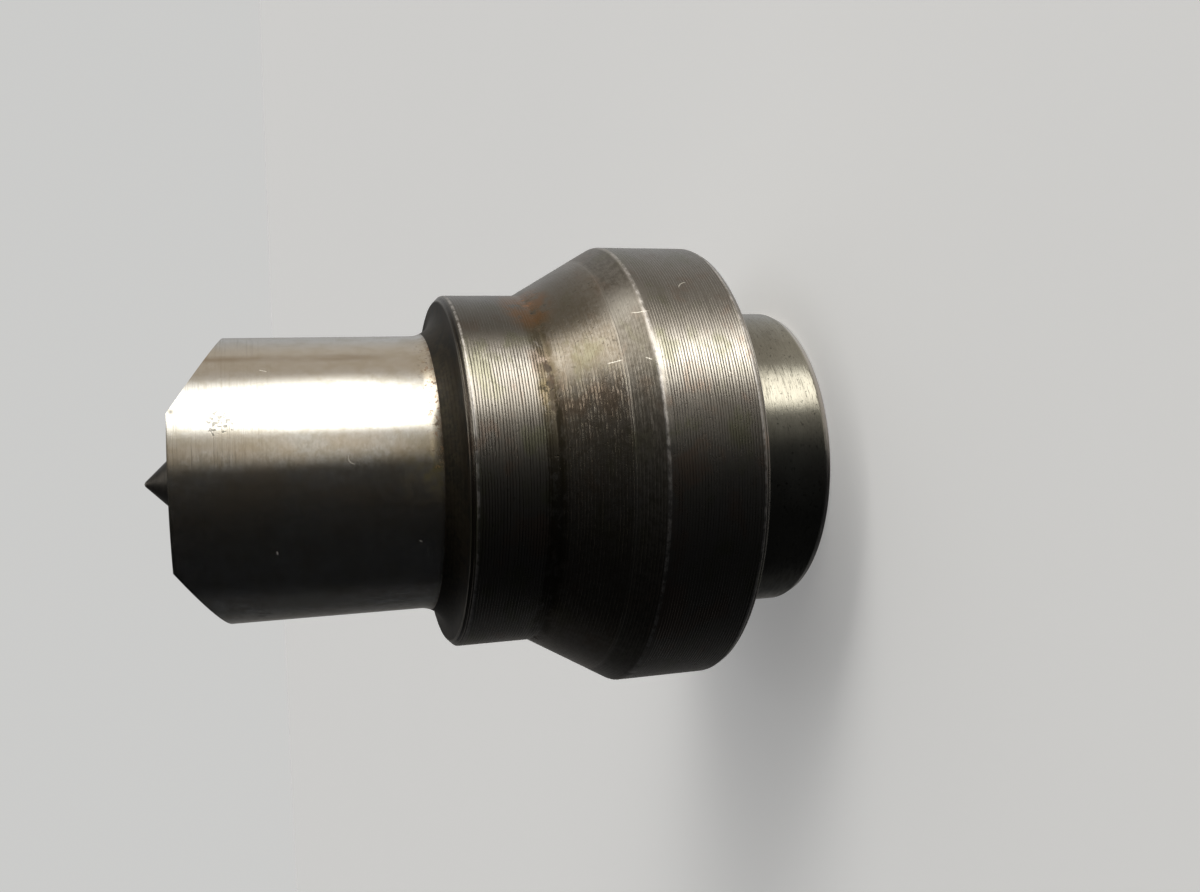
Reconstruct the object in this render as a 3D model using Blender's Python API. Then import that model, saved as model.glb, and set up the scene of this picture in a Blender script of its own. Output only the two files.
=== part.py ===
"""A shouldered press punch with a sprung centre pin, standing on the flat end of its spigot.

The punch body is turned from one bar: a spigot, a wide rim, a conical shoulder, a flange and a
nose whose end is cut to a roof of two flats. A headed pin slides in a bore along the axis and
shows its cone point above the nose. A coil spring behind it pushes it out, and a socket set
screw in the spigot closes the bore.

Metres, +Z up along the axis towards the nose. The origin is the centre of the spigot's end.
"""

import math

import bmesh
import bpy

MM = 0.001

# Punch body, outside: radii, then heights above the spigot's end.
SPIGOT_RADIUS = 13.9 * MM
RIM_RADIUS = 20.0 * MM
FLANGE_RADIUS = 15.65 * MM
NOSE_RADIUS = 12.1 * MM
RIM_BACK_Z = 8.75 * MM
RIM_FRONT_Z = 17.35 * MM
SHOULDER_ANGLE = math.radians(30)
FLANGE_FACE_Z = 31.95 * MM
NOSE_END_Z = 53.95 * MM
ROOT_FILLET = 2.4 * MM
FLANGE_CHAMFER = 0.5 * MM

# Chamfers steeper than 45 degrees: how far in, then how far along the axis.
SPIGOT_CHAMFER_IN = 0.3 * MM
SPIGOT_CHAMFER_ALONG = 0.65 * MM
RIM_CHAMFER_IN = 0.25 * MM
RIM_CHAMFER_ALONG = 0.5 * MM

# Roof of the nose: a flat strip along Y, with a flat falling away on each side of it.
RIDGE_HALF_WIDTH = 6.05 * MM
ROOF_ANGLE = math.radians(33.5)
CUTTER_MARGIN = 3.0 * MM

# Bore along the axis: guide hole, spring chamber, then the tapped hole at the spigot's end.
GUIDE_RADIUS = 2.56 * MM
GUIDE_MOUTH_CHAMFER = 0.12 * MM
CHAMBER_RADIUS = 3.4 * MM
CHAMBER_TOP_Z = 30.2 * MM
TAPPED_RADIUS = 4.0 * MM
TAPPED_TOP_Z = 10.6 * MM
TAPPED_MOUTH_CHAMFER = 0.4 * MM

# Centre pin.
GAP = 0.3 * MM
PIN_RADIUS = 2.5 * MM
PIN_HEAD_RADIUS = 3.25 * MM
PIN_HEAD_LENGTH = 3.0 * MM
PIN_HEAD_CHAMFER = 0.3 * MM
PIN_LAND = 0.27 * MM
PIN_POINT_ANGLE = math.radians(90)
PIN_TIP_RADIUS = 0.2 * MM

# Socket set screw, size M8.
SCREW_RADIUS = 3.7 * MM
SCREW_RECESS = 1.0 * MM
SCREW_LENGTH = 8.0 * MM
SCREW_CHAMFER = 0.7 * MM
SOCKET_ACROSS_FLATS = 4.0 * MM
SOCKET_DEPTH = 4.0 * MM

# Coil spring.
WIRE_RADIUS = 0.5 * MM
COIL_RADIUS = 2.6 * MM
END_TURN_PITCH = 1.3 * MM
END_TURNS = 1
TURNS = 9

# Roundness of the solids.
BODY_STEPS = 72
PIN_STEPS = 36
SCREW_STEPS = 36
POINTS_PER_TURN = 16
WIRE_BEVEL_RESOLUTION = 2
FILLET_STEPS = 6
TIP_STEPS = 3
MERGE_DISTANCE = 0.001 * MM
SMOOTH_UP_TO = math.radians(25)


def clear_scene():
    for existing in list(bpy.data.objects):
        bpy.data.objects.remove(existing)


def steel(name, colour, roughness):
    """A steel finish as a Principled BSDF."""
    material = bpy.data.materials.new(name)
    material.use_nodes = True
    shader = material.node_tree.nodes["Principled BSDF"]
    shader.inputs["Base Color"].default_value = (*colour, 1.0)
    shader.inputs["Roughness"].default_value = roughness
    shader.inputs["Metallic"].default_value = 1.0
    return material


def arc(centre, radius, start, end, steps):
    """Points along an arc in a half-section, from one angle to another, both included."""
    points = []
    for i in range(steps + 1):
        angle = start + (end - start) * i / steps
        points.append((centre[0] + radius * math.cos(angle), centre[1] + radius * math.sin(angle)))
    return points


def placed(name, mesh, material):
    """The mesh as an object in the scene, with its finish, its round faces shaded smooth."""
    mesh.materials.append(material)
    mesh.shade_smooth()
    mesh.set_sharp_from_angle(angle=SMOOTH_UP_TO)
    piece = bpy.data.objects.new(name, mesh)
    bpy.context.scene.collection.objects.link(piece)
    return piece


def turned(name, outline, closed, steps, material):
    """A piece turned about Z from its half-section, a list of (radius, height) points."""
    bm = bmesh.new()
    points = [bm.verts.new((radius, 0, height)) for radius, height in outline]
    following = points[1:] + points[:1] if closed else points[1:]
    lines = [bm.edges.new(pair) for pair in zip(points, following)]
    bmesh.ops.spin(
        bm, geom=points + lines, cent=(0, 0, 0), axis=(0, 0, 1), angle=math.tau, steps=steps, use_merge=True
    )
    bmesh.ops.remove_doubles(bm, verts=bm.verts, dist=MERGE_DISTANCE)
    bmesh.ops.recalc_face_normals(bm, faces=bm.faces)
    mesh = bpy.data.meshes.new(name)
    bm.to_mesh(mesh)
    bm.free()
    return placed(name, mesh, material)


def prism(name, corners, depth_vector):
    """A cutter: a polygon pushed along a vector. The finished piece doesn't keep it."""
    bm = bmesh.new()
    face = bm.faces.new([bm.verts.new(corner) for corner in corners])
    pushed = bmesh.ops.extrude_face_region(bm, geom=[face])
    moved = [item for item in pushed["geom"] if isinstance(item, bmesh.types.BMVert)]
    bmesh.ops.translate(bm, vec=depth_vector, verts=moved)
    bmesh.ops.recalc_face_normals(bm, faces=bm.faces)
    mesh = bpy.data.meshes.new(name)
    bm.to_mesh(mesh)
    bm.free()
    cutter = bpy.data.objects.new(name, mesh)
    bpy.context.scene.collection.objects.link(cutter)
    cutter.hide_render = True
    cutter.display_type = "WIRE"
    return cutter


def cut(piece, cutter):
    """Cuts one shape out of a piece."""
    boolean = piece.modifiers.new(cutter.name, "BOOLEAN")
    boolean.operation = "DIFFERENCE"
    boolean.solver = "EXACT"
    boolean.object = cutter


def body_outline():
    """Half-section of the punch body, round the outside from the spigot's end, then down the bore."""
    shoulder_top = RIM_FRONT_Z + (RIM_RADIUS - FLANGE_RADIUS) / math.tan(SHOULDER_ANGLE)
    fillet_centre = (NOSE_RADIUS + ROOT_FILLET, FLANGE_FACE_Z + ROOT_FILLET)
    outside = [
        (SPIGOT_RADIUS - SPIGOT_CHAMFER_IN, 0),
        (SPIGOT_RADIUS, SPIGOT_CHAMFER_ALONG),
        (SPIGOT_RADIUS, RIM_BACK_Z),
        (RIM_RADIUS - RIM_CHAMFER_IN, RIM_BACK_Z),
        (RIM_RADIUS, RIM_BACK_Z + RIM_CHAMFER_ALONG),
        (RIM_RADIUS, RIM_FRONT_Z),
        (FLANGE_RADIUS, shoulder_top),
        (FLANGE_RADIUS, FLANGE_FACE_Z - FLANGE_CHAMFER),
        (FLANGE_RADIUS - FLANGE_CHAMFER, FLANGE_FACE_Z),
        *arc(fillet_centre, ROOT_FILLET, -math.pi / 2, -math.pi, FILLET_STEPS),
        (NOSE_RADIUS, NOSE_END_Z),
    ]
    bore = [
        (GUIDE_RADIUS + GUIDE_MOUTH_CHAMFER, NOSE_END_Z),
        (GUIDE_RADIUS, NOSE_END_Z - GUIDE_MOUTH_CHAMFER),
        (GUIDE_RADIUS, CHAMBER_TOP_Z),
        (CHAMBER_RADIUS, CHAMBER_TOP_Z),
        (CHAMBER_RADIUS, TAPPED_TOP_Z),
        (TAPPED_RADIUS, TAPPED_TOP_Z - (TAPPED_RADIUS - CHAMBER_RADIUS)),
        (TAPPED_RADIUS, TAPPED_MOUTH_CHAMFER),
        (TAPPED_RADIUS + TAPPED_MOUTH_CHAMFER, 0),
    ]
    return outside + bore


def roof_cutter(side):
    """The wedge above one flat of the roof. side is 1 for the flat facing +X and -1 for -X."""
    fall = math.tan(ROOF_ANGLE)
    inner = RIDGE_HALF_WIDTH - CUTTER_MARGIN
    outer = NOSE_RADIUS + CUTTER_MARGIN
    start_y = -NOSE_RADIUS - CUTTER_MARGIN
    section = [
        (inner, NOSE_END_Z + CUTTER_MARGIN * fall),
        (outer, NOSE_END_Z - (outer - RIDGE_HALF_WIDTH) * fall),
        (outer, NOSE_END_Z + CUTTER_MARGIN * fall),
    ]
    corners = [(side * x, start_y, z) for x, z in section]
    name = "roof_cutter_right" if side > 0 else "roof_cutter_left"
    return prism(name, corners, (0, -2 * start_y, 0))


def make_body():
    punch_steel = steel("punch_steel", (0.21, 0.19, 0.17), 0.38)
    body = turned("punch_body", body_outline(), True, BODY_STEPS, punch_steel)
    for side in (1, -1):
        cut(body, roof_cutter(side))
    return body


def make_pin():
    """The centre pin. Its origin is on the axis, under its head."""
    head_top = CHAMBER_TOP_Z - GAP
    head_bottom = head_top - PIN_HEAD_LENGTH
    half_point = PIN_POINT_ANGLE / 2
    cone_base = NOSE_END_Z + PIN_LAND
    cone_apex = cone_base + PIN_RADIUS / math.tan(half_point)
    tip_centre = cone_apex - PIN_TIP_RADIUS / math.sin(half_point)
    outline = [
        (0, head_bottom),
        (PIN_HEAD_RADIUS - PIN_HEAD_CHAMFER, head_bottom),
        (PIN_HEAD_RADIUS, head_bottom + PIN_HEAD_CHAMFER),
        (PIN_HEAD_RADIUS, head_top),
        (PIN_RADIUS, head_top),
        (PIN_RADIUS, cone_base),
        *arc((0, tip_centre), PIN_TIP_RADIUS, half_point, math.pi / 2, TIP_STEPS),
    ]
    at_its_origin = [(radius, height - head_bottom) for radius, height in outline]
    pin_steel = steel("pin_steel", (0.11, 0.105, 0.1), 0.35)
    pin = turned("centre_pin", at_its_origin, False, PIN_STEPS, pin_steel)
    pin.location.z = head_bottom
    return pin


def coil_height(turn, rise):
    """Height of the wire's centre after that many turns: close end turns, and even turns between."""
    active_pitch = (rise - 2 * END_TURNS * END_TURN_PITCH) / (TURNS - 2 * END_TURNS)
    height = min(turn, END_TURNS) * END_TURN_PITCH
    height += max(0, min(turn, TURNS - END_TURNS) - END_TURNS) * active_pitch
    height += max(0, turn - (TURNS - END_TURNS)) * END_TURN_PITCH
    return height


def make_spring():
    """The coil spring, between the set screw and the pin's head."""
    bottom = SCREW_RECESS + SCREW_LENGTH + GAP
    top = CHAMBER_TOP_Z - GAP - PIN_HEAD_LENGTH - GAP
    rise = top - bottom - 2 * WIRE_RADIUS
    path = bpy.data.curves.new("pin_spring", "CURVE")
    path.dimensions = "3D"
    path.bevel_depth = WIRE_RADIUS
    path.bevel_resolution = WIRE_BEVEL_RESOLUTION
    path.use_fill_caps = True
    path.materials.append(steel("spring_steel", (0.3, 0.29, 0.27), 0.35))
    count = TURNS * POINTS_PER_TURN + 1
    line = path.splines.new("POLY")
    line.points.add(count - 1)
    for i, point in enumerate(line.points):
        turn = i / POINTS_PER_TURN
        angle = math.tau * turn
        height = bottom + WIRE_RADIUS + coil_height(turn, rise)
        point.co = (COIL_RADIUS * math.cos(angle), COIL_RADIUS * math.sin(angle), height, 1)
    spring = bpy.data.objects.new("pin_spring", path)
    bpy.context.scene.collection.objects.link(spring)
    return spring


def make_screw():
    """The socket set screw that closes the bore, its hexagon socket open at the spigot's end."""
    bottom = SCREW_RECESS
    top = SCREW_RECESS + SCREW_LENGTH
    outline = [
        (0, bottom),
        (SCREW_RADIUS - SCREW_CHAMFER, bottom),
        (SCREW_RADIUS, bottom + SCREW_CHAMFER),
        (SCREW_RADIUS, top - SCREW_CHAMFER),
        (SCREW_RADIUS - SCREW_CHAMFER, top),
        (0, top),
    ]
    screw_steel = steel("screw_steel", (0.05, 0.05, 0.052), 0.45)
    screw = turned("backing_screw", outline, False, SCREW_STEPS, screw_steel)
    corner_radius = SOCKET_ACROSS_FLATS / math.sqrt(3)
    start_z = bottom - GAP
    corners = []
    for i in range(6):
        angle = math.tau * i / 6
        corners.append((corner_radius * math.cos(angle), corner_radius * math.sin(angle), start_z))
    cut(screw, prism("socket_cutter", corners, (0, 0, SOCKET_DEPTH + GAP)))
    return screw


clear_scene()
make_body()
make_pin()
make_spring()
make_screw()
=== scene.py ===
"""Looks of the shouldered press punch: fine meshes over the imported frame, worn steel and soft light."""

import math
import random

import bmesh
import bpy
from mathutils import Matrix, Vector, noise


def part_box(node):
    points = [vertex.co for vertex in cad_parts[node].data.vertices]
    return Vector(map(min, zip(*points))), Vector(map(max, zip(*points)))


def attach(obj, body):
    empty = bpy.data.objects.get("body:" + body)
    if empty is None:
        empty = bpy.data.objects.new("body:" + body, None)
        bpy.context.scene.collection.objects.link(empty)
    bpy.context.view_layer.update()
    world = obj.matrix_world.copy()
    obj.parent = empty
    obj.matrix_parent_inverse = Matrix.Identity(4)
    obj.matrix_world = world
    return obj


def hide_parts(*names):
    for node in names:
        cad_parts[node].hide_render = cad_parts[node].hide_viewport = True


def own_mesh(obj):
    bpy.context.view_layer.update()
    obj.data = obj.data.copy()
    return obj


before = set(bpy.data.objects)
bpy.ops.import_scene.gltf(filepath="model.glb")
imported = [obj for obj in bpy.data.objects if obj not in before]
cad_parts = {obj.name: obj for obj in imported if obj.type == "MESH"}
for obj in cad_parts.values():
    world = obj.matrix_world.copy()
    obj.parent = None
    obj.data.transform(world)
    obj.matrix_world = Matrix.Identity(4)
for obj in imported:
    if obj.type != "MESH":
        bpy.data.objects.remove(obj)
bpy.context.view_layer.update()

MM = 0.001
body_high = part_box("punch_body")[1]
pin_low, pin_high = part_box("centre_pin")
spring_low, spring_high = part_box("pin_spring")
screw_low, screw_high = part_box("backing_screw")

# Turned outline, in millimetres, as in the CAD model.
NOSE_END = body_high.z / MM
RIM_RADIUS = body_high.x / MM
SPIGOT_RADIUS, RIM_BACK, RIM_FRONT = 13.9, 8.75, 17.35
FLANGE_RADIUS, FLANGE_FACE, FLANGE_CHAMFER = 15.65, 31.95, 0.5
SHOULDER_TOP = RIM_FRONT + (RIM_RADIUS - FLANGE_RADIUS) / math.tan(math.radians(30))
NOSE_RADIUS, ROOT_FILLET = 12.1, 2.4
NOSE_GROUND_FROM = 33.3
GUIDE_RADIUS, CHAMBER_RADIUS, CHAMBER_TOP = 2.56, 3.4, 30.2
TAPPED_RADIUS, TAPPED_TOP = 4.0, 10.6
RIDGE_HALF_WIDTH, ROOF_ANGLE = 6.05, math.radians(33.5)
EDGE_SOFTENING = 0.10

# Chamfers, as (across, along) where the two differ.
SPIGOT_CHAMFER, RIM_BACK_CHAMFER = (0.3, 0.65), (0.25, 0.5)
GUIDE_CHAMFER, HOLE_CHAMFER = 0.12, 0.4

# Thread of the hole: the radius of its crests, and how far its ends keep from the ends of the hole.
THREAD_PITCH, THREAD_CREST = 1.25, 3.32
THREAD_FROM, THREAD_BELOW_TOP, THREAD_LEAD_IN = 0.3, 0.5, 1.0
THREAD_STEEPNESS, THREAD_ROOT_FLAT = 1.15, 0.08
HOLE_RELIEF, THREAD_ROWS_BELOW_TOP = 0.6, 0.8

# The set screw, with its thread a little inside the hole's.
SCREW_CREST, SCREW_ROOT = TAPPED_RADIUS - 0.05, THREAD_CREST - 0.05
THREAD_CLEARANCE = 0.03
SCREW_END_RADIUS = 0.88 * SCREW_ROOT
SOCKET_FLATS, SOCKET_DEPTH, SOCKET_DRILL_POINT = 2.0, 4.0, 0.6

# The centre pin and its spring.
PIN_RADIUS, PIN_HEAD_LENGTH, PIN_HEAD_CHAMFER = 2.5, 3.0, 0.3
CONE_ABOVE_NOSE = 0.27
TIP_RADIUS, TIP_HEIGHT = 0.19, 0.075
WIRE_RADIUS, COIL_RADIUS, COIL_TURNS, END_TURN_RISE = 0.5, 2.6, 9.0, 1.3
SPRING_GRINDING = 0.12

# Mesh density: steps round the axis, and along arcs, threads and wire.
BODY_STEPS, FINE_STEPS = 432, 192
ARC_STEPS_PER_MM = 5
TAPPED_ROWS, SCREW_ROWS = 64, 72
WIRE_SIDES, STEPS_PER_TURN = 20, 72

# Wear: edges are rubbed within a reach, and nicked at random places.
RUBBED_EDGES = (
    (RIM_RADIUS, RIM_FRONT),
    (RIM_RADIUS, RIM_BACK + 0.2),
    (FLANGE_RADIUS - 0.2, FLANGE_FACE - 0.2),
)
RUB_REACH, RUB_WAVES = 0.6, ((0.03, 0.9), (0.025, 3.1))
NICK_COUNT, NICK_REACH = 24, 0.5
NICK_HALF_WIDTHS, NICK_DEPTHS = (0.5, 1.4), (0.02, 0.05)
FEED_PITCH = 0.2415

random.seed(7)


# -------------------- mesh helpers


def rounded(corners, steps=5):
    """An open outline of (radius, height, rounding) corners, with each rounding drawn as an arc."""
    points = []
    for i, (x, z, rounding) in enumerate(corners):
        here = Vector((x, z))
        if rounding == 0 or i in (0, len(corners) - 1):
            points.append(here)
            continue
        back = (Vector(corners[i - 1][:2]) - here).normalized()
        ahead = (Vector(corners[i + 1][:2]) - here).normalized()
        half = back.angle(ahead) / 2
        centre = here + (back + ahead).normalized() * rounding / math.sin(half)
        start = here + back * rounding / math.tan(half) - centre
        turn = math.pi - 2 * half
        if start.y * back.x - start.x * back.y < 0:
            turn = -turn
        count = max(steps, round(rounding * ARC_STEPS_PER_MM))
        for k in range(count + 1):
            a = turn * k / count
            cosine, sine = math.cos(a), math.sin(a)
            across = start.x * cosine - start.y * sine
            along = start.x * sine + start.y * cosine
            points.append(centre + Vector((across, along)))
    return [(p.x, p.y) for p in points]


def with_rows_by_corners(rows, near=(0.12, 0.3, 0.6)):
    """The outline with more points on its long straight runs, near both ends, so that wear stays there."""
    filled = [rows[0]]
    for first, second in zip(rows, rows[1:]):
        length = math.dist(first, second)
        if length > 2.2 * near[-1]:
            for along in [*near, *(length - d for d in reversed(near))]:
                share = along / length
                filled.append(tuple(a + (b - a) * share for a, b in zip(first, second)))
        filled.append(second)
    return filled


def join_rings(bm, rings, closed=False):
    """Faces between each ring of points and the next, where a ring of one point is a tip."""
    for lower, upper in zip(rings, rings[1:] + rings[:1] if closed else rings[1:]):
        steps = max(len(lower), len(upper))
        for k in range(steps):
            after = (k + 1) % steps
            corners = [lower[k % len(lower)], lower[after % len(lower)]]
            corners += [upper[after % len(upper)], upper[k % len(upper)]]
            bm.faces.new(dict.fromkeys(corners))


def lathe(rows, steps, closed=False, shape=None):
    """A mesh turned about Z from (radius, height) rows in millimetres. shape moves a point by its angle."""
    bm = bmesh.new()
    rings = []
    for radius, height in rows:
        if radius < 1e-6:
            rings.append([bm.verts.new((0, 0, height * MM))])
            continue
        ring = []
        for k in range(steps):
            angle = math.tau * k / steps
            r, h = shape(radius, height, angle) if shape else (radius, height)
            ring.append(bm.verts.new((r * math.cos(angle) * MM, r * math.sin(angle) * MM, h * MM)))
        rings.append(ring)
    join_rings(bm, rings, closed)
    bmesh.ops.recalc_face_normals(bm, faces=bm.faces)
    return bm


def finished(name, bm, materials, body, node, smooth_up_to=30):
    """The mesh as a piece that rides on its body and stands for its CAD node."""
    mesh = bpy.data.meshes.new(name)
    bm.to_mesh(mesh)
    bm.free()
    for material in materials:
        mesh.materials.append(material)
    mesh.shade_smooth()
    mesh.set_sharp_from_angle(angle=math.radians(smooth_up_to))
    piece = bpy.data.objects.new(name, mesh)
    bpy.context.scene.collection.objects.link(piece)
    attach(piece, body)
    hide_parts(node)
    return piece


def thread_depth(height, angle):
    """From 0 at a thread's root to 1 at its crest, for a V thread with a narrow flat."""
    phase = (height / THREAD_PITCH - angle / math.tau) % 1.0
    return min(1.0, max(0.0, THREAD_STEEPNESS * (1 - 2 * abs(phase - 0.5)) - THREAD_ROOT_FLAT))


# -------------------- shader helpers


class Nodes:
    """Short calls that add nodes to a tree and give back their outputs. Below, n is one and s a Shader."""

    def __init__(self, tree):
        self.tree = tree

    def plug(self, socket, value):
        if isinstance(value, bpy.types.NodeSocket):
            self.tree.links.new(value, socket)
        elif isinstance(value, tuple) and len(socket.default_value) == 4:
            socket.default_value = (*value, 1.0)
        elif value is not None:
            socket.default_value = value

    def math(self, operation, a, b=None):
        node = self.tree.nodes.new("ShaderNodeMath")
        node.operation = operation
        self.plug(node.inputs[0], a)
        self.plug(node.inputs[1], b)
        return node.outputs[0]

    def vector(self, operation, a, b=None, scale=None):
        node = self.tree.nodes.new("ShaderNodeVectorMath")
        node.operation = operation
        self.plug(node.inputs[0], a)
        self.plug(node.inputs[1], b)
        if scale is not None:
            self.plug(node.inputs["Scale"], scale)
        return node.outputs[0]

    def apart(self, vector):
        node = self.tree.nodes.new("ShaderNodeSeparateXYZ")
        self.plug(node.inputs[0], vector)
        return node.outputs

    def turn_from_front(self, x, y):
        """Degrees about Z: 0 towards -Y and 90 towards +X."""
        return self.math("MULTIPLY", self.math("ARCTAN2", x, self.math("MULTIPLY", y, -1.0)), 180 / math.pi)

    def step(self, value, low, high, to_low=0.0, to_high=1.0):
        """Smooth change from to_low to to_high as value goes from low to high."""
        node = self.tree.nodes.new("ShaderNodeMapRange")
        node.interpolation_type = "SMOOTHSTEP"
        for name, number in (("From Min", low), ("From Max", high), ("To Min", to_low), ("To Max", to_high)):
            self.plug(node.inputs[name], number)
        self.plug(node.inputs["Value"], value)
        return node.outputs[0]

    def bell(self, value, centre, width):
        """1 at centre, falling smoothly to 0 at that width on each side."""
        apart = self.math("ABSOLUTE", self.math("SUBTRACT", value, centre))
        return self.step(apart, 0.0, width, 1.0, 0.0)

    def distance(self, a, b):
        """Length of the hypotenuse."""
        squares = self.math("ADD", self.math("POWER", a, 2.0), self.math("POWER", b, 2.0))
        return self.math("SQRT", squares)

    def product(self, *values):
        result = values[0]
        for value in values[1:]:
            result = self.math("MULTIPLY", result, value)
        return result

    def largest(self, *values):
        result = values[0]
        for value in values[1:]:
            result = self.math("MAXIMUM", result, value)
        return result

    def mix(self, factor, a, b):
        """Colour a where factor is 0, and b where it is 1."""
        node = self.tree.nodes.new("ShaderNodeMix")
        node.data_type = "RGBA"
        self.plug(node.inputs["Factor"], factor)
        self.plug(node.inputs["A"], a)
        self.plug(node.inputs["B"], b)
        return node.outputs["Result"]

    def layered(self, colour, *layers):
        """The colour under layers of (how much, colour), laid on in that order."""
        for amount, layer in layers:
            colour = self.mix(amount, colour, layer)
        return colour


class Shader(Nodes):
    """A Principled material and the nodes that feed it. Lengths are in millimetres and angles in degrees."""

    def __init__(self, name):
        self.material = bpy.data.materials.new(name)
        self.material.use_nodes = True
        super().__init__(self.material.node_tree)
        self.surface = self.tree.nodes["Principled BSDF"]
        place = self.tree.nodes.new("ShaderNodeTexCoord").outputs["Object"]
        self.place = self.vector("SCALE", place, scale=1 / MM)
        self.x, self.y, self.z = self.apart(self.place)
        self.radius = self.distance(self.x, self.y)
        self.angle = self.turn_from_front(self.x, self.y)
        # The same angle as far as 85 degrees, then back down to 0 behind, so that nothing jumps there.
        behind = self.math("SUBTRACT", 180.0, self.angle)
        self.folded = self.math("MINIMUM", self.angle, self.math("MULTIPLY", behind, 0.9))

    def noise(self, across, along, detail=3.0, rough=0.55, seed=0.0, along_y=None):
        """Noise of that many features per millimetre across the axis, along it and, if it differs, in Y."""
        often = (across, across if along_y is None else along_y, along)
        stretched = self.vector("MULTIPLY", self.place, often)
        moved = self.vector("ADD", stretched, (seed, seed * 1.7, seed * 0.3))
        node = self.tree.nodes.new("ShaderNodeTexNoise")
        node.inputs["Scale"].default_value = 1.0
        node.inputs["Detail"].default_value = detail
        node.inputs["Roughness"].default_value = rough
        self.plug(node.inputs["Vector"], moved)
        return node.outputs[0]

    def ring(self, radius, height, reach):
        """1 on a ring of the surface, falling to 0 at that distance from it in the section."""
        apart = self.distance(
            self.math("SUBTRACT", self.radius, radius),
            self.math("SUBTRACT", self.z, height),
        )
        return self.step(apart, reach * 0.4, reach, 1.0, 0.0)

    def leaning(self, slope):
        """The surface's normal, leaned along the axis by that slope."""
        axis = self.tree.nodes.new("ShaderNodeVectorTransform")
        axis.vector_type, axis.convert_from, axis.convert_to = "VECTOR", "OBJECT", "WORLD"
        axis.inputs[0].default_value = (0, 0, 1)
        lean = self.vector("SCALE", self.vector("NORMALIZE", axis.outputs[0]), scale=slope)
        facing = self.tree.nodes.new("ShaderNodeNewGeometry").outputs["Normal"]
        return self.vector("NORMALIZE", self.vector("SUBTRACT", facing, lean))

    def bump(self, height, depth, normal=None):
        """Bump of that depth in millimetres for a height from 0 to 1."""
        node = self.tree.nodes.new("ShaderNodeBump")
        node.inputs["Strength"].default_value = 1.0
        node.inputs["Distance"].default_value = depth * MM
        self.plug(node.inputs["Height"], height)
        self.plug(node.inputs["Normal"], normal)
        return node.outputs[0]

    def spot(self, angle, height, half_angle, half_height):
        """1 in the middle of an oval patch of the surface, 0 outside it."""
        return self.product(self.bell(self.angle, angle, half_angle), self.bell(self.z, height, half_height))

    def scratch(self, angle, height, length, lean, bend=0.0, width=0.07):
        """1 on a short thin line of the surface. Lean 0 runs round the axis and 90 along it."""
        across = self.product(self.math("SUBTRACT", self.angle, angle), self.radius, math.pi / 180)
        along = self.math("SUBTRACT", self.z, height)
        cosine, sine = math.cos(math.radians(lean)), math.sin(math.radians(lean))
        run = self.math("ADD", self.product(across, cosine), self.product(along, sine))
        off = self.math("SUBTRACT", self.product(along, cosine), self.product(across, sine))
        off = self.math("ADD", off, self.product(run, run, bend))
        ends = self.step(self.math("ABSOLUTE", run), length * 0.3, length * 0.5, 1.0, 0.0)
        return self.product(ends, self.bell(off, 0.0, width))

    def grain_round_axis(self, amount):
        """Spreads reflections along the axis, as fine rings round it do."""
        tangent = self.tree.nodes.new("ShaderNodeTangent")
        tangent.direction_type = "RADIAL"
        tangent.axis = "Z"
        self.plug(self.surface.inputs["Tangent"], tangent.outputs[0])
        self.surface.inputs["Anisotropic"].default_value = amount
        self.surface.inputs["Anisotropic Rotation"].default_value = 0.25

    def done(self, colour, roughness, normal=None, metallic=1.0):
        self.plug(self.surface.inputs["Base Color"], colour)
        self.plug(self.surface.inputs["Roughness"], roughness)
        self.plug(self.surface.inputs["Metallic"], metallic)
        self.plug(self.surface.inputs["Normal"], normal)
        return self.material


# -------------------- materials

FRESH_STEEL = (0.74, 0.70, 0.62)
RUST_ORANGE = (0.30, 0.125, 0.045)
RUST_BROWN = (0.062, 0.036, 0.017)
RUST_VEIL = (0.185, 0.095, 0.038)
OLD_OIL, OLD_OIL_BROWN, OIL_CRUST = (0.0044, 0.0039, 0.0032), (0.017, 0.0115, 0.0065), (0.030, 0.024, 0.013)

NOSE_STEEL, NOSE_STEEL_DULL = (0.64, 0.63, 0.60), (0.57, 0.55, 0.505)
NOSE_CLOUD, NOSE_HANDLED = (0.44, 0.40, 0.31), (0.30, 0.275, 0.205)
NOSE_RINGS, NOSE_END_LINES = (0.24, 0.22, 0.18), (0.30, 0.28, 0.24)
NOSE_FILM, NOSE_BROWN, NOSE_STREAK = (0.60, 0.50, 0.37), (0.50, 0.39, 0.26), (0.34, 0.25, 0.16)
NOSE_STAIN, NOSE_OLIVE, NOSE_MARGIN = (0.40, 0.31, 0.18), (0.26, 0.215, 0.075), (0.15, 0.10, 0.06)
NOSE_RUST, NOSE_PITS = (0.20, 0.095, 0.04), (0.10, 0.095, 0.08)

TURNED_STEEL, TURNED_STEEL_DULL = (0.37, 0.34, 0.30), (0.28, 0.255, 0.22)
# Painted highlight and painted shade for the turned steel.
TURNED_PAINTED_HIGHLIGHT, TURNED_SHADED = (0.52, 0.485, 0.43), (0.09, 0.08, 0.06)
TURNED_OLIVE, TURNED_BROWN = (0.22, 0.22, 0.13), (0.31, 0.22, 0.165)
# Painted shade past the highlight, on rim and flange.
TURNED_SHADE_PAST_HIGHLIGHT, FLANGE_SHADE_PAST_HIGHLIGHT = (0.085, 0.078, 0.066), (0.06, 0.055, 0.045)
# Grime and painted shade in the feed marks' grooves.
GROOVE_GRIME_AND_SHADE = (0.07, 0.062, 0.05)
# The shoulder's torn and polished metal, and its painted highlight.
CONE_TORN, CONE_POLISHED, CONE_PAINTED_HIGHLIGHT = (0.12, 0.095, 0.062), (0.105, 0.092, 0.072), (0.46, 0.43, 0.38)
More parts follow.
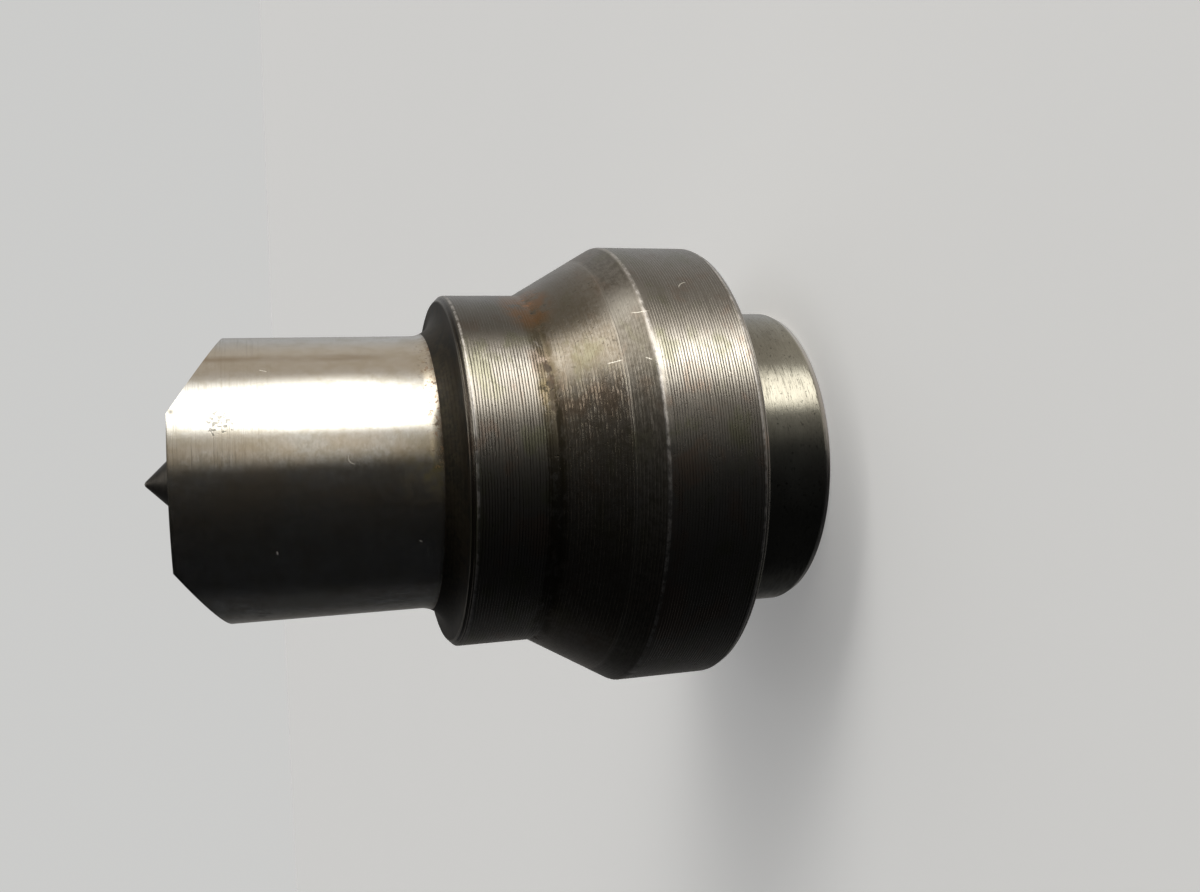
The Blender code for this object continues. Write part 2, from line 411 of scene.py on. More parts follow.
# Painted shade in the shoulder's corner and on the flange's chamfer, and bare worn edges.
CORNER_SHADE, BEVEL_PAINTED_SHADE, EDGE_WORN = (0.080, 0.064, 0.038), (0.022, 0.016, 0.011), (0.52, 0.49, 0.46)
PITTED_GROUND, PIT_FLOOR = (0.125, 0.10, 0.055), (0.045, 0.038, 0.026)

SPIGOT_STEEL, SPIGOT_STEEL_DULL = (0.31, 0.295, 0.245), (0.24, 0.225, 0.185)
SPIGOT_RINGS, SPIGOT_STREAKS = (0.13, 0.12, 0.095), (0.09, 0.085, 0.065)
SPIGOT_SPECKS, SPIGOT_EDGE = (0.04, 0.037, 0.03), (0.42, 0.39, 0.37)
BORE_STEEL, BORE_STEEL_DULL = (0.22, 0.2, 0.17), (0.12, 0.11, 0.09)
PIN_STEEL, PIN_STEEL_DULL = (0.075, 0.068, 0.06), (0.045, 0.042, 0.038)
PIN_RINGS, PIN_TIP_RUBBED = (0.13, 0.12, 0.10), (0.35, 0.33, 0.3)
WIRE_STEEL, WIRE_STEEL_DULL = (0.34, 0.33, 0.31), (0.2, 0.19, 0.17)
OXIDE_BLACK, OXIDE_WORN = (0.035, 0.036, 0.04), (0.09, 0.085, 0.08)
FLOOR_PALE, FLOOR_PALER = (0.86, 0.865, 0.87), (0.88, 0.885, 0.89)


def nose_rings(s):
    """Fine dark rings round the nose, most of them near its tip."""
    rings = s.noise(0.10, 7.0, detail=5.0, rough=0.7)
    near_tip = s.step(s.z, NOSE_END - 11.0, NOSE_END - 1.5)
    return s.product(s.step(rings, 0.46, 0.72), s.step(near_tip, 0.0, 1.0, 0.12, 0.8))


def nose_handling(s, side):
    """Fine mottling left by handling, clear on the -X half and faint on the +X half."""
    mottle = s.noise(1.5, 2.6, detail=5.0, rough=0.72, seed=103.0)
    place = s.product(side, s.step(s.folded, 24.0, 10.0, 0.15, 1.0))
    return s.product(place, s.step(mottle, 0.42, 0.62, 0.0, 0.5))


def nose_end_lines(s, side):
    """Grinding lines along Y on the end face."""
    lines = s.noise(5.0, 0.8, detail=4.0, rough=0.65, seed=101.0, along_y=0.14)
    return s.product(s.math("SUBTRACT", 1.0, side), s.step(lines, 0.40, 0.68))


def nose_films(s, side):
    """Films that run the length of the nose: a tan one, a browner one, and a narrow brown streak."""
    tan = s.product(side, s.step(s.angle, 40.0, 52.0), s.step(s.angle, 78.0, 60.0))
    brown = s.product(
        side,
        s.step(s.angle, 25.0, 15.0),
        s.step(s.angle, -30.0, 0.0),
        s.step(s.noise(0.3, 0.25, detail=5.0, seed=83.0), 0.3, 0.6, 0.4, 1.0),
    )
    streak = s.product(
        side,
        s.bell(s.angle, 57.0, 3.4),
        s.step(s.z, 36.0, 41.0),
        s.step(s.noise(0.7, 0.14, detail=5.0), 0.30, 0.56, 0.35, 1.0),
    )
    return tan, brown, streak


def nose_foot(s, clouds):
    """Where the nose meets the flange: a stain, an olive patch, the finish's ragged margin, and rust."""
    foot = s.product(
        s.step(s.z, NOSE_GROUND_FROM + 3.4, NOSE_GROUND_FROM),
        s.step(s.angle, -12.0, 8.0),
        s.step(s.angle, 100.0, 60.0),
    )
    stain = s.product(foot, s.step(s.noise(0.5, 0.5, detail=4.0, seed=9.0), 0.36, 0.66))
    olive_place = s.spot(3.0, NOSE_GROUND_FROM + 1.0, 16.0, 3.6)
    olive = s.product(olive_place, s.step(clouds, 0.36, 0.62, 0.2, 1.0))
    ragged = s.step(s.noise(1.4, 1.4, detail=3.0, seed=89.0), 0.35, 0.6, 0.3, 1.0)
    margin = s.product(s.bell(s.z, NOSE_GROUND_FROM + 0.1, 0.42), ragged)
    specks = s.noise(2.7, 2.7, detail=3.0, rough=0.6, seed=21.0)
    rust_place = s.largest(s.product(foot, 0.95), s.spot(15.0, 34.4, 6.0, 0.9))
    rust = s.product(s.step(specks, 0.54, 0.68), s.step(rust_place, 0.45, 0.95))
    return stain, olive, margin, rust


def nose_pits(s):
    """Three patches of small pits, thinning out towards their edges, and one larger pit near the tip."""
    place = s.largest(
        s.spot(25.5, 50.2, 7.5, 1.2),
        s.spot(-62.0, 47.5, 8.0, 1.3),
        s.spot(150.0, 44.0, 9.0, 1.6),
    )
    dense = s.math("ADD", s.noise(3.6, 3.0, detail=3.0, seed=41.0), s.product(place, 0.17))
    small = s.product(s.step(dense, 0.61, 0.68), s.step(place, 0.02, 0.12), 0.8)
    return s.largest(small, s.spot(30.6, 53.6, 2.0, 0.34))


def nose_scratches(s):
    """A few short scratches on the nose."""
    return s.largest(
        s.scratch(49.1, 46.85, 0.7, 70.0),
        s.scratch(9.5, 40.75, 1.0, 30.0, bend=1.2),
        s.scratch(-24.0, 46.35, 0.35, 10.0),
        s.scratch(-22.8, 35.35, 0.3, 60.0),
        s.scratch(-110.0, 43.0, 2.2, 55.0, bend=0.2),
        s.scratch(160.0, 38.5, 1.6, 20.0),
    )


def ground_nose():
    """Bright ground steel: fine rings near the tip, films, a brown streak, pits, and a rusted foot."""
    s = Shader("ground_nose_steel")
    broad = s.noise(0.16, 0.09, detail=4.0)
    fine = s.noise(0.35, 16.0, detail=3.0, rough=0.6, seed=3.0)
    clouds = s.noise(0.75, 0.6, detail=5.0, rough=0.65, seed=87.0)
    side = s.step(s.radius, NOSE_RADIUS - 0.4, NOSE_RADIUS - 0.12)
    ringed, end_lines = nose_rings(s), nose_end_lines(s, side)
    tan, brown, streak = nose_films(s, side)
    stain, olive, margin, rust = nose_foot(s, clouds)
    pits, marks = nose_pits(s), nose_scratches(s)

    colour = s.layered(
        s.mix(s.step(broad, 0.35, 0.7), NOSE_STEEL, NOSE_STEEL_DULL),
        (s.step(clouds, 0.42, 0.66, 0.0, 0.5), NOSE_CLOUD),
        (nose_handling(s, side), NOSE_HANDLED),
        (s.product(ringed, 0.7), NOSE_RINGS),
        (s.product(tan, 0.6), NOSE_FILM),
        (s.product(brown, 0.6), NOSE_BROWN),
        (s.product(end_lines, 0.55), NOSE_END_LINES),
        (s.product(streak, 0.7), NOSE_STREAK),
        (s.product(stain, 0.45), NOSE_STAIN),
        (s.product(olive, 0.8), NOSE_OLIVE),
        (s.product(margin, 0.75), NOSE_MARGIN),
        (s.product(rust, 0.85), s.mix(s.step(clouds, 0.45, 0.6), RUST_BROWN, NOSE_RUST)),
        (s.product(pits, 0.85), NOSE_PITS),
        (s.product(marks, 0.8), FRESH_STEEL),
    )
    s.grain_round_axis(0.6)
    rough = s.math("ADD", s.step(broad, 0.3, 0.7, 0.15, 0.20), s.product(ringed, 0.08))
    rough = s.math("ADD", rough, s.product(s.largest(rust, stain), 0.12))
    rough = s.math("ADD", rough, s.product(marks, 0.3))
    cut_away = s.math("ADD", s.product(ringed, 0.5), s.largest(pits, end_lines))
    normal = s.bump(s.math("SUBTRACT", s.product(fine, 0.35), cut_away), 0.004)
    dusty = s.step(s.noise(2.6, 2.2, detail=5.0, rough=0.75, seed=97.0), 0.36, 0.66, 0.006, 0.022)
    dull = s.largest(s.product(rust, 0.6), s.product(olive, 0.16), s.product(marks, 0.35), dusty)
    return s.done(colour, rough, normal, s.math("SUBTRACT", 1.0, dull))


def feed_strength(s, broken):
    """How strongly feed marks show: uneven from mark to mark, and weaker where broken and towards +X."""
    each = s.step(s.noise(0.10, 3.2, detail=2.0, seed=13.0), 0.34, 0.52, 0.5, 1.0)
    fading = s.step(s.noise(0.35, 0.5, detail=3.0, seed=23.0), 0.30, 0.48, 0.55, 1.0)
    torn = s.step(s.noise(1.5, 2.5, detail=3.0, rough=0.7, seed=29.0), 0.42, 0.58)
    whole = s.math("SUBTRACT", 1.0, s.product(torn, broken, 0.6))
    unworn = s.math("SUBTRACT", 1.0, s.product(broken, 0.72))
    turned_by = s.math("SUBTRACT", s.folded, s.math("MULTIPLY", s.z, 0.34))
    return s.product(each, fading, whole, unworn, s.step(turned_by, 28.0, 40.0, 1.12, 0.45))


def feed_marks(s, broken):
    """Grooves that the tool left, one a turn: how deep the surface lies, 0 to 1, and its slope, -1 to 1."""
    wander = s.noise(0.10, 0.9, detail=2.0, seed=5.0)
    shiver = s.noise(1.3, 1.3, detail=2.0, seed=6.0)
    drift = s.math("ADD", s.product(wander, 0.9), s.product(shiver, s.step(broken, 0.0, 1.0, 0.25, 0.75)))
    phase = s.math("FRACT", s.math("ADD", s.math("DIVIDE", s.z, FEED_PITCH), drift))
    fall, rise = s.bell(phase, 0.38, 0.18), s.bell(phase, 0.68, 0.18)
    strength = feed_strength(s, broken)
    depth = s.product(s.bell(phase, 0.53, 0.30), strength)
    return depth, s.product(s.math("SUBTRACT", fall, rise), strength)


def turned_zones(s):
    """Where rim, flange, the shoulder's polished and coarse parts, and its corner with the flange are."""
    rim = s.step(s.z, RIM_FRONT + 0.2, RIM_FRONT - 0.2)
    flange = s.step(s.z, SHOULDER_TOP, SHOULDER_TOP + 1.0)
    on_cone = s.product(
        s.step(s.z, RIM_FRONT, RIM_FRONT + 0.3),
        s.step(s.z, SHOULDER_TOP + 0.2, SHOULDER_TOP - 0.2),
    )
    polished = s.product(on_cone, s.step(s.z, RIM_FRONT + 2.4, RIM_FRONT + 2.0))
    coarse = s.product(on_cone, s.step(s.z, RIM_FRONT + 2.0, RIM_FRONT + 2.6))
    return rim, flange, polished, coarse, s.bell(s.z, SHOULDER_TOP + 0.1, 0.9)


def turned_edges(s):
    """The outer edges, and where they are worn to bare metal."""
    edges = s.largest(
        s.ring(RIM_RADIUS, RIM_FRONT, 0.22),
        s.ring(RIM_RADIUS, RIM_BACK + RIM_BACK_CHAMFER[1], 0.16),
        s.ring(FLANGE_RADIUS, FLANGE_FACE - FLANGE_CHAMFER - 0.02, 0.16),
    )
    patchy = s.noise(1.5, 1.5, detail=4.0, rough=0.7, seed=51.0)
    return edges, s.product(edges, s.step(patchy, 0.40, 0.58, 0.15, 1.0))


def turned_smoothness(s, polished, corner, edges):
    """Where the feed marks are rubbed away."""
    by_rim_edge = s.product(
        s.step(s.z, RIM_FRONT - 0.9, RIM_FRONT - 0.3, 0.0, 0.8),
        s.step(s.z, RIM_FRONT + 0.3, RIM_FRONT),
    )
    return s.largest(s.product(polished, 0.65), s.product(edges, 0.9), s.product(corner, 0.8), by_rim_edge)


def turned_tones(s, rim, flange):
    """Layers of tone: a painted highlight and painted shade by the side that the surface faces, random olive
    and brown tones, and painted shade past the highlight.
    """
    # Painted highlight: lighter in a band round 29 degrees on the rim and 36.5 on the flange, where the
    # window's reflection falls.
    bright = s.largest(
        s.product(rim, s.bell(s.angle, 29.0, 9.5)),
        s.product(flange, s.bell(s.angle, 36.5, 8.5), 0.6),
    )
    # Painted shade on the sides away from the window.
    shaded = s.product(s.largest(rim, flange), s.step(s.folded, 34.0, 22.0), 0.22)
    tone = s.noise(0.20, 0.32, detail=5.0, rough=0.6, seed=81.0)
    # Painted shade: rim, upper shoulder and flange darker towards +X past the highlight, by the side that
    # they face.
    shade_past_highlight_place = s.largest(rim, s.step(s.z, RIM_FRONT + 1.4, SHOULDER_TOP - 2.2))
    shade_past_highlight_side = s.step(s.math("ADD", s.folded, s.product(rim, 5.5)), 39.0, 51.0, 0.0, 0.60)
    return (
        (bright, TURNED_PAINTED_HIGHLIGHT),
        (shaded, TURNED_SHADED),
        (s.step(tone, 0.52, 0.66, 0.0, 0.6), TURNED_OLIVE),
        (s.step(tone, 0.48, 0.36, 0.0, 0.6), TURNED_BROWN),
        (s.product(shade_past_highlight_side, shade_past_highlight_place), TURNED_SHADE_PAST_HIGHLIGHT),
        # More painted shade past the flange's highlight.
        (s.product(flange, s.step(s.folded, 43.0, 54.0, 0.0, 0.5)), FLANGE_SHADE_PAST_HIGHLIGHT),
    )


def shoulder_tones(s, polished, coarse, mottle):
    """Layers on the shoulder: torn and polished metal, a painted highlight on its lit side, and painted
    shade in its corner.
    """
    # Painted highlight: lighter near the rim round 47 degrees, where the window's reflection falls.
    rubbed = s.product(s.bell(s.angle, 47.0, 9.0), s.bell(s.z, RIM_FRONT + 1.2, 2.6), 0.6)
    patchy = s.noise(0.9, 1.2, detail=5.0, rough=0.7, seed=93.0)
    shade = s.product(s.bell(s.z, SHOULDER_TOP + 0.25, 1.35), s.step(patchy, 0.36, 0.58, 0.25, 1.0))
    return (
        (s.product(coarse, s.step(mottle, 0.38, 0.62, 0.46, 0.72)), CONE_TORN),
        (s.product(polished, s.step(mottle, 0.38, 0.62, 0.55, 0.85)), CONE_POLISHED),
        (rubbed, CONE_PAINTED_HIGHLIGHT),
        (s.product(s.step(shade, 0.0, 0.7), 0.8), CORNER_SHADE),
    )


def turned_scratches(s):
    """Short scratches on rim, shoulder and flange."""
    return s.largest(
        s.scratch(51.5, 13.2, 1.3, -48.0, bend=0.5),
        s.scratch(41.7, 17.65, 1.5, 75.0, bend=0.25),
        s.scratch(30.1, 20.25, 1.2, 88.0),
        s.scratch(28.5, 17.9, 0.6, 50.0),
        s.scratch(24.0, 11.4, 0.5, 60.0),
        s.scratch(-96.0, 12.0, 2.4, 50.0, bend=0.15),
        s.scratch(-140.0, 20.5, 1.6, 80.0),
        s.scratch(175.0, 28.2, 1.2, 35.0),
    )


def oily_face(s):
    """Old oil on the flange's face and on the fillet: where it is, and its colour."""
    chamfer_from = FLANGE_RADIUS - FLANGE_CHAMFER
    inside_chamfer = s.step(s.radius, chamfer_from + 0.1, chamfer_from - 0.15)
    grime = s.product(s.step(s.z, FLANGE_FACE - 0.08, FLANGE_FACE - 0.02), inside_chamfer)
    blotches = s.noise(0.5, 0.5, detail=5.0, rough=0.65, seed=33.0)
    oil = s.mix(s.step(blotches, 0.42, 0.56), OLD_OIL, OLD_OIL_BROWN)
    on_fillet = s.step(s.radius, NOSE_RADIUS + ROOT_FILLET, NOSE_RADIUS + 1.0)
    crust = s.step(s.noise(1.9, 1.9, detail=4.0, rough=0.7, seed=35.0), 0.46, 0.6)
    return grime, s.mix(s.product(on_fillet, s.step(crust, 0.0, 1.0, 0.3, 0.8)), oil, OIL_CRUST)


def corner_rust(s, corner):
    """Rust in the corner between shoulder and flange: a veil, crusts, and where the crusts are orange."""
    veil_place = s.largest(
        s.spot(67.0, SHOULDER_TOP + 0.4, 25.0, 3.2),
        s.spot(155.0, SHOULDER_TOP, 26.0, 2.4),
    )
    veil_noise = s.noise(0.55, 0.7, detail=5.0, rough=0.65, seed=66.0)
    veil = s.product(s.step(veil_place, 0.1, 0.6), s.step(veil_noise, 0.34, 0.54), 0.8)
    crust_place = s.largest(
        s.spot(69.0, SHOULDER_TOP + 0.1, 22.0, 2.8),
        s.spot(150.0, SHOULDER_TOP - 0.2, 26.0, 2.0),
        s.spot(-70.0, SHOULDER_TOP, 22.0, 1.2),
        s.product(corner, s.step(s.angle, 8.0, 22.0), s.step(s.angle, 48.0, 34.0), 1.1),
        s.product(corner, 0.6),
    )
    crust_noise = s.noise(1.5, 1.7, detail=5.0, rough=0.7, seed=61.0)
    crust = s.product(s.step(s.product(crust_noise, crust_place), 0.40, 0.54), 0.85)
    fresh = s.step(s.noise(1.5, 1.5, detail=3.0, seed=71.0), 0.5, 0.62)
    return veil, crust, s.product(crust, fresh, s.step(s.folded, 20.0, 60.0))


def turned_pits(s, coarse, corner):
    """Small pits, and the patch beside the shoulder's corner where they crowd."""
    patch = s.spot(26.0, SHOULDER_TOP + 0.7, 11.0, 1.1)
    place = s.largest(s.product(coarse, 0.45), corner, 0.3, patch)
    dense = s.math("ADD", s.noise(2.9, 2.9, detail=2.5, seed=31.0), s.product(patch, 0.10))
    return s.product(s.step(dense, 0.64, 0.71), place), patch


def turned_dark():
    """As-turned steel, dark and warm: feed marks, worn bright edges, pits, and rust in the corner."""
    s = Shader("turned_steel")
    broad = s.noise(0.13, 0.2, detail=5.0, rough=0.6, seed=2.0)
    grain = s.noise(0.8, 9.0, detail=4.0, rough=0.65, seed=17.0)
    glints = s.noise(2.4, 4.5, detail=4.0, rough=0.75, seed=19.0)
    mottle = s.noise(1.7, 2.6, detail=5.0, rough=0.75, seed=77.0)
    rim, flange, polished, coarse, corner = turned_zones(s)
    groove, slope = feed_marks(s, s.largest(s.product(coarse, 0.9), 0.15))
    edges, worn = turned_edges(s)
    smooth = turned_smoothness(s, polished, corner, edges)
    # Painted shade on the flange's chamfer.
    bevel = s.product(
        s.bell(s.z, FLANGE_FACE - 0.2, 0.26),
        s.step(s.radius, FLANGE_RADIUS - 0.8, FLANGE_RADIUS - 0.5),
    )
    marks = turned_scratches(s)
    grime, oil = oily_face(s)
    veil, rust, orange_rust = corner_rust(s, corner)
    pits, pitted = turned_pits(s, coarse, corner)

    colour = s.layered(
        s.mix(s.step(broad, 0.3, 0.72), TURNED_STEEL, TURNED_STEEL_DULL),
        *turned_tones(s, rim, flange),
        # Groove floors darker: grime in the feed marks, and painted shade in them.
        (s.product(groove, s.math("SUBTRACT", 1.0, smooth), 0.75), GROOVE_GRIME_AND_SHADE),
        *shoulder_tones(s, polished, coarse, mottle),
        (s.product(bevel, 0.95), BEVEL_PAINTED_SHADE),
        (s.product(worn, 0.85), EDGE_WORN),
        (s.product(marks, 0.85), FRESH_STEEL),
        (s.product(grime, 0.96), oil),
        (veil, RUST_VEIL),
        (s.product(rust, 0.8), RUST_BROWN),
        (s.product(orange_rust, 0.6), RUST_ORANGE),
        (s.product(pitted, s.step(mottle, 0.4, 0.6, 0.4, 0.9)), PITTED_GROUND),
        (s.product(pits, 0.9), PIT_FLOOR),
    )
    s.grain_round_axis(0.35)
    rough = s.step(broad, 0.3, 0.7, 0.24, 0.30)
    rough = s.math("ADD", rough, s.product(s.largest(rust, grime), 0.3))
    rough = s.math("ADD", rough, s.product(s.largest(worn, marks, s.product(polished, 0.5)), 0.16))
    cut = s.product(slope, s.math("SUBTRACT", 1.0, s.largest(smooth, grime)), 1.1)
    scatter = s.product(s.math("SUBTRACT", glints, 0.5), s.step(coarse, 0.0, 1.0, 0.30, 0.27))
    dents = s.math("ADD", pits, s.product(rust, 0.4))
    height = s.math("SUBTRACT", s.product(grain, 0.6), dents)
    normal = s.bump(height, 0.010, normal=s.leaning(s.math("ADD", cut, scatter)))
    dull = s.largest(s.product(rust, 0.7), s.product(grime, 0.20))
    return s.done(colour, rough, normal, s.math("SUBTRACT", 1.0, dull))


def ground_spigot():
    """Satin ground steel of the spigot, with short fine streaks round it and a yellowed tone."""
    s = Shader("ground_spigot_steel")
    broad = s.noise(0.2, 0.3, detail=4.0, seed=4.0)
    rings = s.noise(0.16, 6.5, detail=5.0, rough=0.7, seed=8.0)
    streaks = s.noise(0.9, 8.0, detail=4.0, rough=0.7, seed=38.0)
    specks = s.noise(3.0, 5.0, detail=2.0, seed=44.0)
    edge = s.bell(s.z, 0.25, 0.45)
    colour = s.layered(
        s.mix(s.step(broad, 0.3, 0.7), SPIGOT_STEEL, SPIGOT_STEEL_DULL),
        (s.step(rings, 0.45, 0.75, 0.0, 0.35), SPIGOT_RINGS),
        (s.step(streaks, 0.52, 0.68, 0.0, 0.6), SPIGOT_STREAKS),
        (s.step(specks, 0.62, 0.72, 0.0, 0.8), SPIGOT_SPECKS),
        (s.product(edge, 0.6), SPIGOT_EDGE),
    )
    s.grain_round_axis(0.5)
    rough = s.math("ADD", s.step(rings, 0.3, 0.75, 0.17, 0.25), s.product(edge, 0.12))
    slope = s.product(s.math("SUBTRACT", streaks, 0.5), 0.7)
    height = s.math("SUBTRACT", rings, s.product(specks, 0.5))
    return s.done(colour, rough, s.bump(height, 0.005, normal=s.leaning(slope)))


def bored_steel():
    """Inside of the bore and the cut end of the spigot: plain machined steel with a film of oil."""
    s = Shader("bored_steel")
    rings = s.noise(0.5, 6.0, detail=4.0, seed=6.0)
    colour = s.mix(s.step(rings, 0.3, 0.7), BORE_STEEL, BORE_STEEL_DULL)
    return s.done(colour, s.step(rings, 0.3, 0.7, 0.32, 0.5), s.bump(rings, 0.006))


def pin_steel():
    """Dark hardened pin, its cone turned to a point and rubbed at the tip."""
    s = Shader("pin_steel")
    rings = s.noise(0.6, 9.0, detail=4.0, seed=12.0)
    broad = s.noise(0.7, 0.7, detail=3.0, seed=14.0)
    rubbed = s.step(s.z, pin_high.z / MM - 0.25, pin_high.z / MM)
    colour = s.layered(
        s.mix(s.step(broad, 0.3, 0.7), PIN_STEEL, PIN_STEEL_DULL),
        (s.step(rings, 0.45, 0.8, 0.0, 0.5), PIN_RINGS),
        (s.product(rubbed, 0.7), PIN_TIP_RUBBED),
    )
    return s.done(colour, s.step(rings, 0.3, 0.7, 0.3, 0.42), s.bump(rings, 0.006))


def spring_steel():
    """Drawn wire of the spring."""
    s = Shader("spring_wire")
    drawn = s.noise(1.4, 1.4, detail=4.0, seed=16.0)
    colour = s.mix(s.step(drawn, 0.35, 0.7), WIRE_STEEL, WIRE_STEEL_DULL)
    return s.done(colour, s.step(drawn, 0.3, 0.7, 0.25, 0.4), s.bump(drawn, 0.004))


def black_oxide():
    """Blackened steel of the set screw, worn in places."""
    s = Shader("black_oxide_screw")
    mottled = s.noise(1.2, 1.2, detail=5.0, seed=18.0)
    colour = s.mix(s.step(mottled, 0.4, 0.75), OXIDE_BLACK, OXIDE_WORN)
    return s.done(colour, s.step(mottled, 0.3, 0.7, 0.36, 0.52), s.bump(mottled, 0.008))


# -------------------- pieces


def nicks(count):
    """Small dents on the outer edges: (edge radius, edge height, angle, half width in degrees, depth)."""
    made = []
    for i in range(count):
        angle = random.uniform(0, math.tau)
        half_width = random.uniform(*NICK_HALF_WIDTHS)
        depth = random.uniform(*NICK_DEPTHS)
        made.append((*RUBBED_EDGES[i % len(RUBBED_EDGES)], angle, half_width, depth))
    return made


NICKS = nicks(NICK_COUNT)


def worn_shape(radius, height, angle):
    """The body's surface with its thread, with edges rubbed unevenly and a few small nicks."""
    in_hole = CHAMBER_RADIUS < radius < TAPPED_RADIUS + 0.01
    if in_hole and THREAD_FROM < height < TAPPED_TOP - THREAD_BELOW_TOP:
        lead_in = min(1.0, (height - THREAD_FROM) / THREAD_LEAD_IN)
        raised = (TAPPED_RADIUS - THREAD_CREST) * thread_depth(height, angle) * lead_in
        return TAPPED_RADIUS - raised, height
    if radius < NOSE_RADIUS or height > FLANGE_FACE + 0.02:
        return radius, height
    for edge_radius, edge_height in RUBBED_EDGES:
        apart = math.hypot(radius - edge_radius, height - edge_height)
        if apart < RUB_REACH:
            at = Vector((math.cos(angle) * edge_radius, math.sin(angle) * edge_radius, edge_height))
            rub = sum(size * max(0.0, noise.noise(at * often)) for size, often in RUB_WAVES)
            radius -= rub * (1 - apart / RUB_REACH)
    for edge_radius, edge_height, at_angle, half_width, depth in NICKS:
        apart = math.hypot(radius - edge_radius, height - edge_height)
        turn = math.degrees(abs((angle - at_angle + math.pi) % math.tau - math.pi))
        if apart < NICK_REACH and turn < half_width:
            radius -= depth * (1 - apart / NICK_REACH) * (1 - turn / half_width) ** 0.5
    return radius, height


def body_rows():
    """The body's closed section: outside, over the nose's end, and back down the bore."""
    outside = rounded([
        (TAPPED_RADIUS + HOLE_CHAMFER, 0, 0),
        (SPIGOT_RADIUS - SPIGOT_CHAMFER[0], 0, 0.15),
        (SPIGOT_RADIUS, SPIGOT_CHAMFER[1], 0.3),
        (SPIGOT_RADIUS, RIM_BACK, 0.25),
        (RIM_RADIUS - RIM_BACK_CHAMFER[0], RIM_BACK, 0.1),
        (RIM_RADIUS, RIM_BACK + RIM_BACK_CHAMFER[1], 0.2),
        (RIM_RADIUS, RIM_FRONT, 0.3),
        (FLANGE_RADIUS, SHOULDER_TOP, 0.6),
        (FLANGE_RADIUS, FLANGE_FACE - FLANGE_CHAMFER, 0.2),
        (FLANGE_RADIUS - FLANGE_CHAMFER, FLANGE_FACE, 0.12),
        (NOSE_RADIUS, FLANGE_FACE, ROOT_FILLET),
        (NOSE_RADIUS, NOSE_END, 0),
        (GUIDE_RADIUS + GUIDE_CHAMFER, NOSE_END, 0),
        (GUIDE_RADIUS, NOSE_END - GUIDE_CHAMFER, 0),
        (GUIDE_RADIUS, CHAMBER_TOP, 0),
        (CHAMBER_RADIUS, CHAMBER_TOP, 0),
        (CHAMBER_RADIUS, TAPPED_TOP, 0),
        (TAPPED_RADIUS, TAPPED_TOP - HOLE_RELIEF, 0),
    ])
    length = TAPPED_TOP - THREAD_ROWS_BELOW_TOP - HOLE_CHAMFER
    heights = [HOLE_CHAMFER + length * (1 - k / TAPPED_ROWS) for k in range(TAPPED_ROWS + 1)]
    return with_rows_by_corners(outside) + [(TAPPED_RADIUS, height) for height in heights]


def cut_roof(bm):
    """Takes the two flats off the nose's end and closes the cuts."""
    for side in (1, -1):
        normal = Vector((side * math.sin(ROOF_ANGLE), 0, math.cos(ROOF_ANGLE)))
        cut = bmesh.ops.bisect_plane(
            bm,
            geom=bm.verts[:] + bm.edges[:] + bm.faces[:],
            dist=1e-8,
            plane_co=(side * RIDGE_HALF_WIDTH * MM, 0, NOSE_END * MM),
            plane_no=normal,
            clear_outer=True,
        )
        rim = [e for e in cut["geom_cut"] if isinstance(e, bmesh.types.BMEdge) and e.is_boundary]
        bmesh.ops.contextual_create(bm, geom=rim)
    bmesh.ops.recalc_face_normals(bm, faces=bm.faces)
    bm.normal_update()
    sharp = [
        e for e in bm.edges
        if len(e.link_faces) == 2 and e.calc_face_angle(0) > math.radians(20)
        and min(v.co.z for v in e.verts) > (NOSE_END - 6) * MM
        and max(v.co.to_2d().length for v in e.verts) > (GUIDE_RADIUS + 1) * MM
    ]
    bmesh.ops.bevel(
        bm,
        geom=sharp,
        offset=EDGE_SOFTENING * MM,
        segments=3,
        profile=0.5,
        affect="EDGES",
        clamp_overlap=True,
    )


def body_finish(face):
    """Which of the body's finishes a face has: 0 nose, 1 turned, 2 spigot, 3 bore."""
    at = face.calc_center_median() / MM
    radius = at.to_2d().length
    if at.z > NOSE_GROUND_FROM and (radius > NOSE_RADIUS - 0.2 or face.normal.z > 0.3):
        return 0
    if radius < TAPPED_RADIUS + 0.45 and at.z < NOSE_END - 0.01 or at.z < 0.01:
        return 3
    if at.z < RIM_BACK - 0.3 and radius < SPIGOT_RADIUS + 0.05:
        return 2
    return 1


def make_body():
    """Nose, flange, shoulder, rim and spigot, all of one turned bar."""
    bm = lathe(body_rows(), BODY_STEPS, closed=True, shape=worn_shape)
    cut_roof(bm)
    for face in bm.faces:
        face.material_index = body_finish(face)
    finishes = [ground_nose(), turned_dark(), ground_spigot(), bored_steel()]
    finished("punch_body_fine", bm, finishes, "punch", "punch_body")


def make_pin():
    """The headed centre pin, its cone blunted at the very tip."""
    low, high = pin_low.z / MM, pin_high.z / MM
    head_radius = pin_high.x / MM
    rows = rounded([
        (0, low, 0),
        (head_radius - PIN_HEAD_CHAMFER, low, 0.08),
        (head_radius, low + PIN_HEAD_CHAMFER, 0.08),
        (head_radius, low + PIN_HEAD_LENGTH, 0.1),
        (PIN_RADIUS, low + PIN_HEAD_LENGTH, 0.12),
        (PIN_RADIUS, NOSE_END + CONE_ABOVE_NOSE, 0.06),
        (TIP_RADIUS, high - TIP_HEIGHT, 0.3),
        (0, high, 0),
    ], steps=8)
    bm = lathe(rows, FINE_STEPS)
    finished("centre_pin_fine", bm, [pin_steel()], "pin", "centre_pin")


def coil_height(turn, rise):
    """How far the wire has risen after that many turns. The first and last turns are closed."""
    active_rise = (rise - 2 * END_TURN_RISE) / (COIL_TURNS - 2)
    in_active = max(0, min(turn, COIL_TURNS - 1) - 1)
    in_last = max(0, turn - COIL_TURNS + 1)
    return min(turn, 1) * END_TURN_RISE + in_active * active_rise + in_last * END_TURN_RISE


